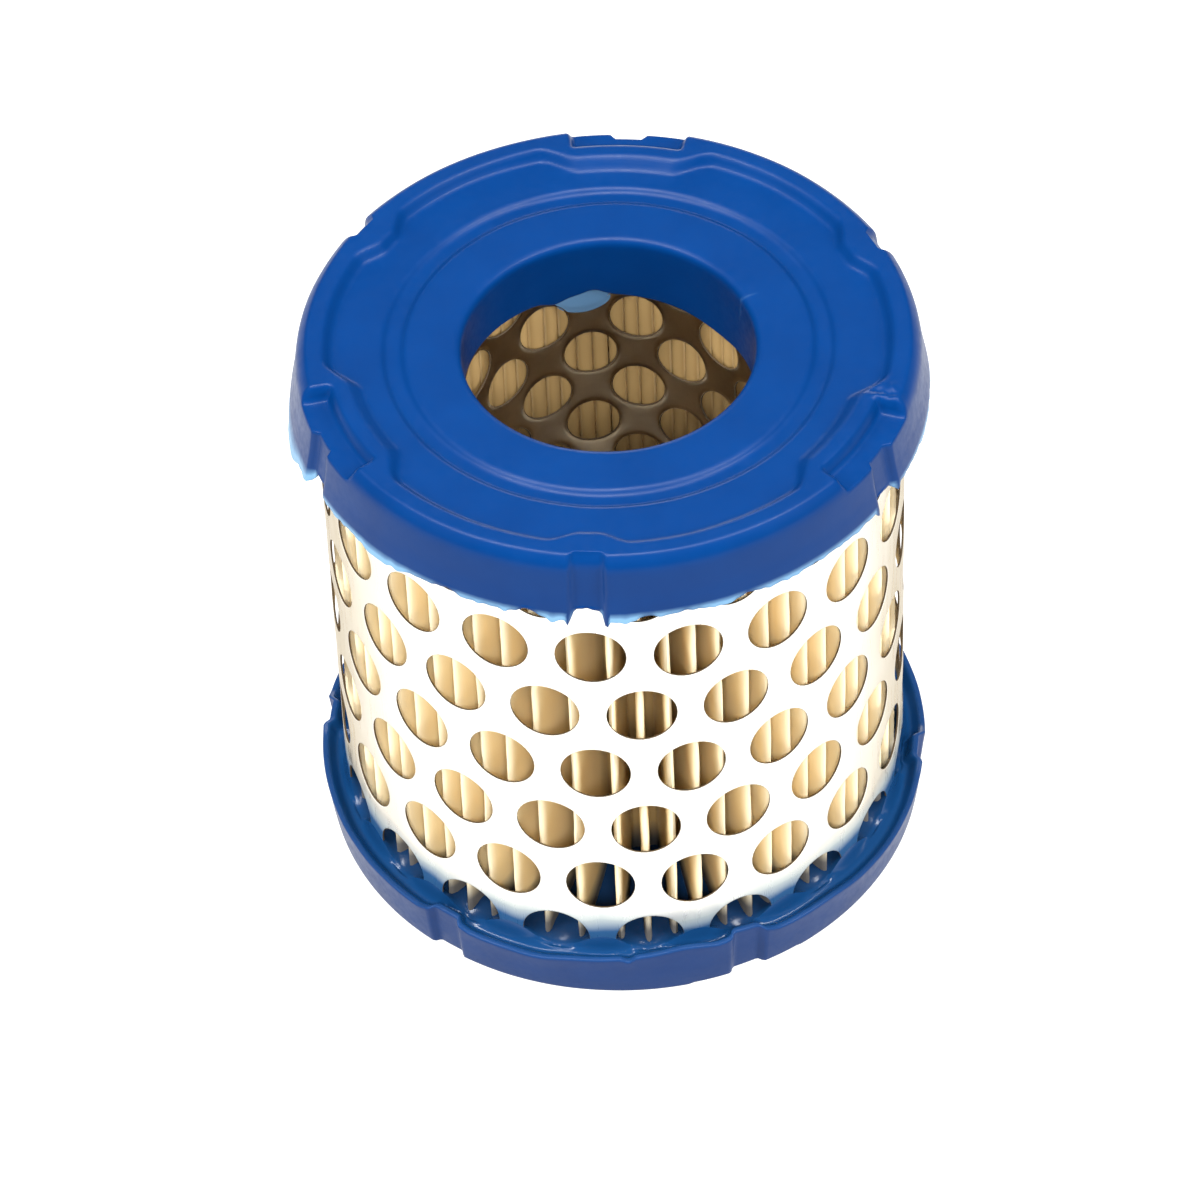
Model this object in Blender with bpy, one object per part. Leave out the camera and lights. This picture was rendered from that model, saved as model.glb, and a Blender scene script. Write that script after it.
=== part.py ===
"""Round pleated air-cleaner cartridge of a small engine, in metres, +Z up.

The origin is the centre of the bottom face. The pack is a ring of pleated paper between a perforated inner
tube and a perforated outer wrap. Both ends are cast into soft moulded end caps, which are also the seals.
"""

import math

import bmesh
import bpy
from mathutils import Vector

for old_object in list(bpy.data.objects):
    bpy.data.objects.remove(old_object, do_unlink=True)

MM = 0.001

# Overall sizes and fits
ELEMENT_HEIGHT = 86.3 * MM
WRAP_DIAMETER = 80.0 * MM
TUBE_BORE = 42.2 * MM
SHEET_GAUGE = 0.4 * MM
FIT_GAP = 0.3 * MM

# Round holes of the outer wrap, in staggered rows
WRAP_HOLE_DIAMETER = 9.5 * MM
WRAP_HOLE_PITCH = 13.2 * MM
WRAP_ROW_PITCH = 11.55 * MM
WRAP_PLAIN_END = 0.3 * MM
WRAP_HOLE_SIDES = 8
WRAP_HOLE_AZIMUTH = math.radians(-5.8)

# Round holes of the inner tube, in closer staggered rows
TUBE_HOLE_DIAMETER = 7.4 * MM
TUBE_HOLE_PITCH = 13.2 * MM
TUBE_ROW_PITCH = 6.75 * MM
TUBE_PLAIN_END = 8.8 * MM
TUBE_HOLE_SIDES = 7
TUBE_HOLE_AZIMUTH = math.radians(24.9)

# End caps: walls round the pack, and the floor that the pack stands on
CAP_OUTER_WALL = 2.0 * MM
CAP_DRAFT = 1.0 * MM
CAP_BORE_WALL = 0.95 * MM
CAP_FLOOR = 3.0 * MM
TOP_SKIRT = 9.6 * MM
BOTTOM_SKIRT = 7.0 * MM
TOP_SKIRT_RISE = 0.4 * MM
BOTTOM_SKIRT_RISE = 2.2 * MM
BORE_SKIRT = 11.3 * MM
ARC_STEP = math.radians(12.1)

# End face: rounded rim rib, recessed land, ring groove and the edge of the bore
RIB_WIDTH = 3.4 * MM
RIB_HEIGHT = 0.8 * MM
RIB_FLANK = 0.5 * MM
RIM_EDGE = 1.1 * MM
RIM_EDGE_BULGE = 0.3
BORE_EDGE = 0.6 * MM
GROOVE_LAND = 4.1 * MM
GROOVE_WIDTH = 3.3 * MM
GROOVE_DEPTH = 0.6 * MM
GROOVE_FLANK = 0.5 * MM

# Mould flutes down the side wall, with a wide pocket in the rim at every second one
FLUTE_COUNT = 6
FLUTE_WIDTH = 4.7 * MM
FLUTE_FLOOR = 3.2 * MM
FLUTE_WEB = 0.6 * MM
JOG_WIDTH = 10.0 * MM
JOG_DEPTH = 1.7 * MM
POCKET_WIDTH = 16.0 * MM
POCKET_END = 1.2 * MM
POCKET_REACH = 4.1 * MM
POCKET_DEPTH = 0.9 * MM
TOP_FLUTE_AZIMUTH = math.radians(54.5)
BOTTOM_FLUTE_AZIMUTH = math.radians(22.3)

# Pleated paper, and the clip that joins its two ends at the back
PLEAT_COUNT = 63
PAPER_THICKNESS = 0.5 * MM
FOLD_WIDTH = 0.8 * MM
CLIP_GAUGE = 0.4 * MM
CLIP_LEG = 5.0 * MM
SEAM_AZIMUTH = math.radians(180.0)

# Radii and heights that follow from the sizes above
WRAP_RADIUS = WRAP_DIAMETER / 2
TUBE_INSIDE = TUBE_BORE / 2
TUBE_OUTSIDE = TUBE_INSIDE + SHEET_GAUGE
CHANNEL_OUTSIDE = WRAP_RADIUS + FIT_GAP
CHANNEL_INSIDE = TUBE_INSIDE - FIT_GAP
CAP_RADIUS = CHANNEL_OUTSIDE + CAP_OUTER_WALL
FLUTE_RADIUS = CHANNEL_OUTSIDE + FLUTE_WEB
BORE_RADIUS = CHANNEL_INSIDE - CAP_BORE_WALL
GROOVE_OUTSIDE = CAP_RADIUS - POCKET_REACH - RIB_WIDTH - GROOVE_LAND
GROOVE_INSIDE = GROOVE_OUTSIDE - GROOVE_WIDTH
PACK_BOTTOM = CAP_FLOOR + FIT_GAP
PACK_TOP = ELEMENT_HEIGHT - CAP_FLOOR - FIT_GAP
PLEAT_OUTSIDE = WRAP_RADIUS - SHEET_GAUGE - FIT_GAP
PLEAT_INSIDE = TUBE_OUTSIDE + FIT_GAP
PLEAT_STEP = math.tau / PLEAT_COUNT

# Shading and the tolerance for joining points
SMOOTH_ANGLE = math.radians(40.0)
MERGE_DISTANCE = 0.01 * MM
CAP_BLUE = (0.008, 0.085, 0.36, 1.0)
TIN_WHITE = (0.80, 0.78, 0.72, 1.0)
TUBE_GREY = (0.45, 0.40, 0.30, 1.0)
PAPER_TAN = (0.62, 0.40, 0.16, 1.0)
CAP_ROUGHNESS = 0.45
TIN_ROUGHNESS = 0.3
TUBE_ROUGHNESS = 0.4
PAPER_ROUGHNESS = 0.8
METAL = 1.0
NOT_METAL = 0.0


def make_material(name, colour, roughness, metallic):
    """A Principled material with one colour."""
    material = bpy.data.materials.new(name)
    material.use_nodes = True
    shader = material.node_tree.nodes["Principled BSDF"]
    shader.inputs["Base Color"].default_value = colour
    shader.inputs["Roughness"].default_value = roughness
    shader.inputs["Metallic"].default_value = metallic
    return material


def make_object(name, bm, material):
    """One named object from a finished mesh, with its points joined and its round faces smooth."""
    bmesh.ops.remove_doubles(bm, verts=bm.verts, dist=MERGE_DISTANCE)
    mesh = bpy.data.meshes.new(name)
    bm.to_mesh(mesh)
    bm.free()
    mesh.shade_smooth()
    mesh.set_sharp_from_angle(angle=SMOOTH_ANGLE)
    mesh.materials.append(material)
    made = bpy.data.objects.new(name, mesh)
    bpy.context.scene.collection.objects.link(made)
    return made


def at(radius, azimuth, height):
    """A point round the axis: azimuth 0 faces -Y and grows towards +X."""
    return Vector((radius * math.sin(azimuth), -radius * math.cos(azimuth), height))


def closed_loop(bm, points):
    """New edges through the points and back to the first."""
    verts = [bm.verts.new(point) for point in points]
    return [bm.edges.new(pair) for pair in zip(verts, verts[1:] + verts[:1])]


def flat_cell(bm, outline, centre, height, hole, sides):
    """A flat piece of sheet inside its outline, with one round hole."""
    turns = [math.tau * corner / sides for corner in range(sides)]
    ring = [(centre + hole / 2 * math.cos(turn), height + hole / 2 * math.sin(turn), 0) for turn in turns]
    edges = closed_loop(bm, outline) + closed_loop(bm, ring)
    filled = bmesh.ops.triangle_fill(bm, use_beauty=True, edges=edges, normal=(0, 0, 1))
    for face in filled["geom"]:
        if isinstance(face, bmesh.types.BMFace):
            face.normal_update()
            if face.normal.z < 0:
                face.normal_flip()


def perforated_tube(name, outside, hole, pitch, row_pitch, plain_end, sides, azimuth, material):
    """A tube rolled from sheet with staggered rows of round holes, centred between its two ends.

    The sheet round each hole reaches a point between the holes of the rows above and below. In the two end
    rows it reaches the straight end of the sheet.
    """
    around = round(math.tau * outside / pitch)
    step = math.tau * outside / around
    pieces = math.ceil(math.tau / around / ARC_STEP)
    across = [step * (count / pieces - 1 / 2) for count in range(pieces + 1)]
    rows = math.floor((PACK_TOP - PACK_BOTTOM - hole - 2 * plain_end) / row_pitch) + 1
    lowest = (PACK_BOTTOM + PACK_TOP - row_pitch * (rows - 1)) / 2
    bm = bmesh.new()
    for row in range(rows):
        height = lowest + row * row_pitch
        stagger = step / 2 * ((row - rows // 2) % 2)
        for column in range(around):
            centre = stagger + column * step
            lower = [(centre, height - row_pitch, 0)]
            upper = [(centre, height + row_pitch, 0)]
            if row == 0:
                lower = [(centre + offset, PACK_BOTTOM, 0) for offset in across]
            if row == rows - 1:
                upper = [(centre - offset, PACK_TOP, 0) for offset in across]
            outline = [(centre - step / 2, height, 0), *lower, (centre + step / 2, height, 0), *upper]
            flat_cell(bm, outline, centre, height, hole, sides)
    for vert in bm.verts:
        vert.co = at(outside, azimuth + vert.co.x / outside, vert.co.y)
    tube = make_object(name, bm, material)
    wall = tube.modifiers.new("sheet_gauge", "SOLIDIFY")
    wall.thickness = SHEET_GAUGE
    wall.offset = -1
    return tube


def ramp(distance, full, none):
    """1 up to the distance full, 0 from the distance none, and a straight slope between."""
    return max(0.0, min(1.0, (none - distance) / (none - full)))


def cap_stations(flute_azimuth):
    """(azimuth, distance from a flute's centre, pocketed) of each section, at corners and steps between."""
    sector = math.tau / FLUTE_COUNT
    stations = []
    for index in range(FLUTE_COUNT):
        pocketed = index % 2 == 0
        corners = [FLUTE_FLOOR / 2, FLUTE_WIDTH / 2]
        corners += [POCKET_WIDTH / 2, POCKET_WIDTH / 2 + POCKET_END] if pocketed else [JOG_WIDTH / 2]
        offsets = [corner / CAP_RADIUS for corner in corners]
        steps = math.ceil((sector / 2 - offsets[-1]) / ARC_STEP)
        stride = (sector / 2 - offsets[-1]) / steps
        offsets += [offsets[-1] + stride * count for count in range(1, steps)]
        turns = [-offset for offset in reversed(offsets)] + offsets + [sector / 2]
        centre = flute_azimuth + index * sector
        stations += [(centre + turn, abs(turn) * CAP_RADIUS, pocketed) for turn in turns]
    return stations


def cap_section(distance, pocketed, skirt, skirt_rise):
    """(radius, depth below the end face) round a section, from the bore over the end face to the channel."""
    flute = ramp(distance, FLUTE_FLOOR / 2, FLUTE_WIDTH / 2)
    jog = 0.0 if pocketed else ramp(distance, FLUTE_WIDTH / 2, JOG_WIDTH / 2)
    pocket = ramp(distance, POCKET_WIDTH / 2, POCKET_WIDTH / 2 + POCKET_END) if pocketed else 0.0
    wall = CAP_RADIUS + (FLUTE_RADIUS - CAP_RADIUS) * flute
    rib_outside = (CAP_RADIUS if pocketed else wall) - POCKET_REACH * pocket
    rib_inside = CAP_RADIUS - RIB_WIDTH - JOG_DEPTH * jog - POCKET_REACH * pocket
    bulge = RIM_EDGE * RIM_EDGE_BULGE * (1 - pocket)
    return [
        (BORE_RADIUS, BORE_SKIRT),
        (BORE_RADIUS, RIB_HEIGHT + BORE_EDGE),
        (BORE_RADIUS + BORE_EDGE, RIB_HEIGHT),
        (GROOVE_INSIDE, RIB_HEIGHT),
        (GROOVE_INSIDE + GROOVE_FLANK, RIB_HEIGHT + GROOVE_DEPTH),
        (GROOVE_OUTSIDE - GROOVE_FLANK, RIB_HEIGHT + GROOVE_DEPTH),
        (GROOVE_OUTSIDE, RIB_HEIGHT),
        (rib_inside, RIB_HEIGHT),
        (rib_inside + RIB_FLANK, 0.0),
        (rib_outside - RIM_EDGE, 0.0),
        (rib_outside - bulge, bulge + POCKET_DEPTH * pocket),
        (wall, RIM_EDGE * (1 - pocket) + POCKET_DEPTH * pocket),
        (wall + CAP_DRAFT, skirt),
        (CHANNEL_OUTSIDE, skirt + skirt_rise),
        (CHANNEL_OUTSIDE, CAP_FLOOR),
        (CHANNEL_INSIDE, CAP_FLOOR),
        (CHANNEL_INSIDE, BORE_SKIRT),
    ]


def end_cap(name, face_height, inwards, flute_azimuth, skirt, skirt_rise, material):
    """A ring moulding lofted through its sections. Its channel takes the ends of the wrap, paper and tube."""
    bm = bmesh.new()
    rings = []
    for azimuth, distance, pocketed in cap_stations(flute_azimuth):
        section = cap_section(distance, pocketed, skirt, skirt_rise)
        points = [at(radius, azimuth, face_height + inwards * depth) for radius, depth in section]
        rings.append([bm.verts.new(point) for point in points])
    for ring, following in zip(rings, rings[1:] + rings[:1]):
        corners = list(zip(ring, following))
        for (near, far), (next_near, next_far) in zip(corners, corners[1:] + corners[:1]):
            bm.faces.new((near, far, next_far, next_near))
    bmesh.ops.recalc_face_normals(bm, faces=bm.faces)
    return make_object(name, bm, material)


def seam_point(lateral, radius):
    """A point of the paper's seam: beside the seam's radial plane, at this distance out from the axis."""
    outwards = at(1.0, SEAM_AZIMUTH, 0.0)
    sideways = at(1.0, SEAM_AZIMUTH + math.tau / 4, 0.0)
    return outwards * radius + sideways * lateral


def fold(radius, azimuth):
    """The two middle-line points of a flattened fold."""
    spread = FOLD_WIDTH / 2 / radius
    return [at(radius, azimuth - spread, 0.0), at(radius, azimuth + spread, 0.0)]


def offset_line(points, distance):
    """The points moved sideways by the distance, mitred at each corner."""
    up = Vector((0, 0, 1))
    sides = [(second - first).cross(up).normalized() for first, second in zip(points, points[1:])]
    moved = []
    for point, before, after in zip(points, sides[:1] + sides, sides + sides[-1:]):
        moved.append(point + (before + after) * (distance / (1 + before.dot(after))))
    return moved


def raise_faces(bm, height):
    """Turns a flat sheet of faces at the bottom of the pack into a closed solid of this height."""
    raised = bmesh.ops.extrude_face_region(bm, geom=bm.faces[:], use_keep_orig=True)
    verts = [item for item in raised["geom"] if isinstance(item, bmesh.types.BMVert)]
    bmesh.ops.translate(bm, verts=verts, vec=(0, 0, height))
    bmesh.ops.recalc_face_normals(bm, faces=bm.faces)


def strip(bm, first_side, second_side):
    """A flat strip of faces between two lines of points, at the bottom of the pack."""
    lift = Vector((0, 0, PACK_BOTTOM))
    rows = [[bm.verts.new(point + lift) for point in side] for side in (first_side, second_side)]
    for index in range(len(first_side) - 1):
        bm.faces.new((rows[0][index], rows[0][index + 1], rows[1][index + 1], rows[1][index]))


def pleated_paper(material):
    """One sheet folded to and fro round the tube. Its two ends stand side by side in the clip."""
    crest = PLEAT_OUTSIDE - PAPER_THICKNESS / 2
    valley = PLEAT_INSIDE + PAPER_THICKNESS / 2
    end_lateral = (PAPER_THICKNESS + FIT_GAP) / 2
    end_radius = PLEAT_OUTSIDE - CLIP_GAUGE - FIT_GAP
    middle = [seam_point(end_lateral, end_radius)]
    for pleat in range(PLEAT_COUNT):
        azimuth = SEAM_AZIMUTH + (pleat + 0.5) * PLEAT_STEP
        middle += fold(valley, azimuth)
        if pleat < PLEAT_COUNT - 1:
            middle += fold(crest, azimuth + PLEAT_STEP / 2)
    middle.append(seam_point(-end_lateral, end_radius))
    bm = bmesh.new()
    strip(bm, offset_line(middle, PAPER_THICKNESS / 2), offset_line(middle, -PAPER_THICKNESS / 2))
    raise_faces(bm, PACK_TOP - PACK_BOTTOM)
    return make_object("pleated_paper", bm, material)


def pleat_seam_clip(material):
    """A strip folded to a U that grips both ends of the paper from outside, for the pack's whole height."""
    valley = PLEAT_INSIDE + PAPER_THICKNESS / 2
    valley_lateral = valley * math.sin(PLEAT_STEP / 2) - FOLD_WIDTH / 2
    end_lateral = (PAPER_THICKNESS + FIT_GAP) / 2
    crown = PLEAT_OUTSIDE - CLIP_GAUGE / 2
    mouth = crown - CLIP_LEG
    along = (crown - mouth) / (crown - valley)
    widest = max(end_lateral, end_lateral + (valley_lateral - end_lateral) * along)
    leg = widest + PAPER_THICKNESS / 2 + FIT_GAP + CLIP_GAUGE / 2
    corners = [(-leg, mouth), (-leg, crown), (leg, crown), (leg, mouth)]
    middle = [seam_point(lateral, radius) for lateral, radius in corners]
    bm = bmesh.new()
    strip(bm, offset_line(middle, CLIP_GAUGE / 2), offset_line(middle, -CLIP_GAUGE / 2))
    raise_faces(bm, PACK_TOP - PACK_BOTTOM)
    return make_object("pleat_seam_clip", bm, material)


cap_material = make_material("blue_plastisol", CAP_BLUE, CAP_ROUGHNESS, NOT_METAL)
wrap_material = make_material("bright_tinplate", TIN_WHITE, TIN_ROUGHNESS, METAL)
tube_material = make_material("dull_tinplate", TUBE_GREY, TUBE_ROUGHNESS, METAL)
paper_material = make_material("filter_paper", PAPER_TAN, PAPER_ROUGHNESS, NOT_METAL)

end_cap("top_end_cap", ELEMENT_HEIGHT, -1, TOP_FLUTE_AZIMUTH, TOP_SKIRT, TOP_SKIRT_RISE, cap_material)
end_cap("bottom_end_cap", 0.0, 1, BOTTOM_FLUTE_AZIMUTH, BOTTOM_SKIRT, BOTTOM_SKIRT_RISE, cap_material)
perforated_tube(
    "outer_wrap",
    WRAP_RADIUS,
    WRAP_HOLE_DIAMETER,
    WRAP_HOLE_PITCH,
    WRAP_ROW_PITCH,
    WRAP_PLAIN_END,
    WRAP_HOLE_SIDES,
    WRAP_HOLE_AZIMUTH,
    wrap_material,
)
perforated_tube(
    "inner_tube",
    TUBE_OUTSIDE,
    TUBE_HOLE_DIAMETER,
    TUBE_HOLE_PITCH,
    TUBE_ROW_PITCH,
    TUBE_PLAIN_END,
    TUBE_HOLE_SIDES,
    TUBE_HOLE_AZIMUTH,
    tube_material,
)
pleated_paper(paper_material)
pleat_seam_clip(tube_material)
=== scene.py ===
import math
import random

import bpy
from mathutils import Matrix, Vector, noise


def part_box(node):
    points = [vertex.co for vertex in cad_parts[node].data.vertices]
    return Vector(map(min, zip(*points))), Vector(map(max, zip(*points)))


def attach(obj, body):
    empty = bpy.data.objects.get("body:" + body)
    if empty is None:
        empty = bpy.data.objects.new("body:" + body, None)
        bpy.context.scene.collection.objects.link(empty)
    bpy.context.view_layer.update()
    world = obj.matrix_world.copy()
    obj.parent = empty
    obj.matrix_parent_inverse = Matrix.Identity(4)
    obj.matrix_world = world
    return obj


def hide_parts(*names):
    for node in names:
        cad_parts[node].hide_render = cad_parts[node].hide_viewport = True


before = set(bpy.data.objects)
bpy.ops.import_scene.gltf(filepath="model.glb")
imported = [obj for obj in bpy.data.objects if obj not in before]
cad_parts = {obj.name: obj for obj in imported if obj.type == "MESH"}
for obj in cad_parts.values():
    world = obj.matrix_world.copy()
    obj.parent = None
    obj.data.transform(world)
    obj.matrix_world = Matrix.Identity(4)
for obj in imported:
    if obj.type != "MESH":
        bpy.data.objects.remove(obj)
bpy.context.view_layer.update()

# Inner tube
# Tinplate strip, punched with staggered round holes, rolled up and cast into both end caps.
# It keeps the pleats from falling into the bore, and the clean air leaves through its holes.
MM = 0.001
pack_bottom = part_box("inner_tube")[0][2]
pack_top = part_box("inner_tube")[1][2]
tube_radius = 21.5 * MM
tube_gauge = 0.3 * MM
tube_face = tube_radius - tube_gauge
tube_holes_around = 10
tube_row_pitch = 6.75 * MM
tube_hole = 7.5 * MM
tube_hole_sides = 32
tube_lip = 0.8 * MM
tube_flare = -0.3 * MM
tube_hole_azimuth = math.radians(24.9)
lip_steps = [(0.25, 0.55), (0.25, 0.3), (0.5, 0.15)]
punched_edge = 0.06 * MM
bevelled_angle = math.radians(50)
sheet_smoothing = 40
cut_lean = 0.74
noise_roughness = 0.6
noise_span = (0.3, 0.7)
stain_noise = (160, 4)
stain_span = (0.35, 0.7)
streak_noise = (700, 3, (1, 1, 0.15))
streak_relief = (0.01 * MM, 0.3)
tube_roughness = (0.3, 0.42)
tube_tin = (0.60, 0.48, 0.32, 1.0)
tube_tin_dull = (0.50, 0.39, 0.25, 1.0)
cut_metallic = 0.3
cut_roughness = 0.8
cut_brown = (0.10, 0.07, 0.04, 1.0)


def at(radius, azimuth, height):
    """A point round the axis: azimuth 0 faces -Y and grows towards +X."""
    return Vector((radius * math.sin(azimuth), -radius * math.cos(azimuth), height))


def select_only(piece):
    """Selects one piece and makes it the active one."""
    bpy.ops.object.select_all(action="DESELECT")
    piece.select_set(True)
    bpy.context.view_layer.objects.active = piece


def edit(piece):
    """Opens one piece for editing, with all of it selected."""
    select_only(piece)
    bpy.ops.object.mode_set(mode="EDIT")
    bpy.ops.mesh.select_all(action="SELECT")


def close_edit():
    """Closes the piece that is open for editing."""
    bpy.ops.object.mode_set(mode="OBJECT")


def finish_modifier(piece, kind, **settings):
    """Adds a modifier with these settings and applies it."""
    modifier = piece.modifiers.new(kind.lower(), kind)
    for setting, value in settings.items():
        setattr(modifier, setting, value)
    bpy.context.view_layer.objects.active = piece
    bpy.ops.object.modifier_apply(modifier=modifier.name)


def smooth_by_angle(piece, degrees):
    """Shades a piece smooth, apart from edges that bend by more than this."""
    select_only(piece)
    bpy.ops.object.shade_smooth_by_angle(angle=math.radians(degrees))


def punched_tube(name, radius, gauge, around, row_pitch, hole, sides, lip, flare, azimuth):
    """A tube rolled from sheet with staggered round holes, cut off at both ends of the pack.

    One hole with its share of the sheet is copied along the strip. The share is a hexagon, or a diamond
    where the rows lie closer than half the holes' spacing. The punch bends a narrow lip round each hole by
    the flare, in steps that are shares of the lip's width and of the flare.
    """
    half = math.pi * radius / around
    shoulder = max(0.0, (row_pitch**2 - half**2) / (2 * row_pitch))
    peak = row_pitch - shoulder
    outline = [(0, peak), (-half, shoulder), (0, -peak), (half, -shoulder)]
    if shoulder > 0:
        outline.insert(2, (-half, -shoulder))
        outline.append((half, shoulder))
    per_side = sides // len(outline)

    bpy.ops.object.select_all(action="DESELECT")
    bpy.ops.mesh.primitive_circle_add(vertices=sides, radius=hole / 2, location=(0, 0, 0))
    sheet = bpy.context.object
    sheet.name = name
    edit(sheet)
    bpy.ops.transform.translate(value=(0, 0, flare))
    for spread, rise in lip_steps:
        bpy.ops.mesh.extrude_edges_move()
        wider = 1 + spread * lip / (hole / 2)
        bpy.ops.transform.resize(value=(wider, wider, 1))
        bpy.ops.transform.translate(value=(0, 0, -rise * flare))
    bpy.ops.mesh.extrude_edges_move()
    close_edit()
    for vertex in sheet.data.vertices[-sides:]:
        turn = math.atan2(-vertex.co.x, vertex.co.y) % math.tau
        place = round(turn / math.tau * sides) % sides
        start = Vector(outline[place // per_side])
        stop = Vector(outline[(place // per_side + 1) % len(outline)])
        vertex.co.xy = start.lerp(stop, place % per_side / per_side)
    edit(sheet)
    bpy.ops.mesh.duplicate_move(TRANSFORM_OT_translate={"value": (half, row_pitch, 0)})
    close_edit()
    pairs = math.ceil((pack_top - pack_bottom) / (2 * row_pitch)) + 1
    for copies, offset in ((around, (2 * half, 0, 0)), (pairs, (0, 2 * row_pitch, 0))):
        finish_modifier(
            sheet,
            "ARRAY",
            count=copies,
            use_relative_offset=False,
            use_constant_offset=True,
            constant_offset_displace=offset,
        )

    middle_row = 2 * (pairs // 2)
    length = pack_top - pack_bottom
    edit(sheet)
    bpy.ops.transform.translate(value=(0, -middle_row * row_pitch, 0))
    bpy.ops.mesh.remove_doubles(threshold=punched_edge)
    bpy.ops.mesh.bisect(plane_co=(0, -length / 2, 0), plane_no=(0, 1, 0), clear_inner=True)
    bpy.ops.mesh.select_all(action="SELECT")
    bpy.ops.mesh.bisect(plane_co=(0, length / 2, 0), plane_no=(0, 1, 0), clear_outer=True)
    bpy.ops.mesh.select_all(action="DESELECT")
    close_edit()
    for face in sheet.data.polygons:
        face.select = face.normal.z < 0
    bpy.ops.object.mode_set(mode="EDIT")
    bpy.ops.mesh.flip_normals()
    close_edit()

    middle = (pack_bottom + pack_top) / 2
    for vertex in sheet.data.vertices:
        along, up, out = vertex.co
        vertex.co = at(radius + out, azimuth + along / radius, middle + up)
    edit(sheet)
    bpy.ops.mesh.remove_doubles(threshold=punched_edge)
    close_edit()
    finish_modifier(sheet, "SOLIDIFY", thickness=gauge, offset=-1)
    finish_modifier(
        sheet,
        "BEVEL",
        width=punched_edge,
        segments=2,
        limit_method="ANGLE",
        angle_limit=bevelled_angle,
    )
    smooth_by_angle(sheet, sheet_smoothing)
    return sheet


def coat_sheet(sheet, skin, cut):
    """Gives the sheet its skin, and the cut edges of holes and ends a dull dark brown."""
    sheet.data.materials.append(skin)
    sheet.data.materials.append(cut)
    for face in sheet.data.polygons:
        outwards = Vector((face.center.x, face.center.y, 0)).normalized()
        face.material_index = int(abs(face.normal.dot(outwards)) < cut_lean)


def start_material(name):
    """A new material, its node tree and its shader."""
    material = bpy.data.materials.new(name)
    material.use_nodes = True
    return material, material.node_tree, material.node_tree.nodes["Principled BSDF"]


def add_node(tree, kind, sockets=None, **settings):
    """A node with its settings, and its sockets set to values or linked to other sockets."""
    added = tree.nodes.new(kind)
    for setting, value in settings.items():
        setattr(added, setting, value)
    for socket, value in (sockets or {}).items():
        if isinstance(value, bpy.types.NodeSocket):
            tree.links.new(value, added.inputs[socket])
        else:
            added.inputs[socket].default_value = value
    return added


def noise_pattern(tree, scale, detail, stretch=(1, 1, 1)):
    """Even noise on object coordinates: features per metre, and the share of them along X, Y and Z."""
    place = add_node(tree, "ShaderNodeTexCoord")
    mapping = add_node(tree, "ShaderNodeMapping", {"Vector": place.outputs["Object"], "Scale": stretch})
    sockets = {"Vector": mapping.outputs["Vector"], "Scale": scale, "Detail": detail}
    sockets["Roughness"] = noise_roughness
    return add_node(tree, "ShaderNodeTexNoise", sockets).outputs["Fac"]


def limit_range(tree, value, low, high, to_low, to_high):
    """The value's range low to high, stretched to another range and cut off at its ends."""
    sockets = {"Value": value, "From Min": low, "From Max": high, "To Min": to_low, "To Max": to_high}
    return add_node(tree, "ShaderNodeMapRange", sockets, clamp=True).outputs["Result"]


def blend_colours(tree, share, first, second):
    """The first colour where share is 0 and the second where it is 1."""
    mixed = add_node(tree, "ShaderNodeMix", data_type="RGBA")
    tree.links.new(share, mixed.inputs["Factor"])
    for socket, colour in ((mixed.inputs[6], first), (mixed.inputs[7], second)):
        if isinstance(colour, bpy.types.NodeSocket):
            tree.links.new(colour, socket)
        else:
            socket.default_value = colour
    return mixed.outputs[2]


def add_bump(tree, shader, height, distance, strength):
    """Fine relief: height 0 to 1 stands for the distance."""
    sockets = {"Height": height, "Distance": distance, "Strength": strength}
    bump = add_node(tree, "ShaderNodeBump", sockets)
    tree.links.new(bump.outputs["Normal"], shader.inputs["Normal"])


dull_tin, tree, shader = start_material("dull_tinplate")
shader.inputs["Metallic"].default_value = 1.0
stain = limit_range(tree, noise_pattern(tree, *stain_noise), *stain_span, 0, 1)
tree.links.new(blend_colours(tree, stain, tube_tin, tube_tin_dull), shader.inputs["Base Color"])
streaks = noise_pattern(tree, *streak_noise)
tree.links.new(limit_range(tree, streaks, *noise_span, *tube_roughness), shader.inputs["Roughness"])
add_bump(tree, shader, streaks, *streak_relief)

cut_metal, tree, shader = start_material("cut_tinplate")
shader.inputs["Metallic"].default_value = cut_metallic
shader.inputs["Roughness"].default_value = cut_roughness
shader.inputs["Base Color"].default_value = cut_brown

tube = punched_tube(
    "tube_sheet",
    tube_radius,
    tube_gauge,
    tube_holes_around,
    tube_row_pitch,
    tube_hole,
    tube_hole_sides,
    tube_lip,
    tube_flare,
    tube_hole_azimuth,
)
coat_sheet(tube, dull_tin, cut_metal)
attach(tube, "root")
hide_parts("inner_tube")

# Pleated paper
# One strip of resin-treated filter paper, folded to and fro round the tube by a pleating machine.
# The outer crests are narrow and unevenly spaced; the inner folds are broad, round and close together.
front_crests = [-46.3, -40.4, -35.1, -29.8, -23.8, -17.9, -10.4, -2.2]
front_crests += [3.5, 9.1, 14.4, 19.8, 25.4, 30.3, 35.2, 40.2, 45.0]
left_gaps = 23
right_gaps = 24
points_per_pleat = 20
paper_levels = 35
paper_thickness = 0.35 * MM
pleat_outside = 39.2 * MM
pleat_inside = 22.0 * MM
crest_half = 0.38 * MM
crest_depth = 1.8 * MM
crest_part = 0.4
fold_part = 0.3
fold_fade = 0.2
fold_fill = 0.8
fold_flat = 0.6
fold_lean = math.radians(2.7)
clip_room = 0.9 * MM
crest_lean = math.radians(0.8)
crest_shortfall = 0.5 * MM
crest_wander = 0.2 * MM
wander_step = 7.3
wander_length = 26 * MM
flank_bow = 0.3 * MM
bow_step = 3.1
bow_across = 4
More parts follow.
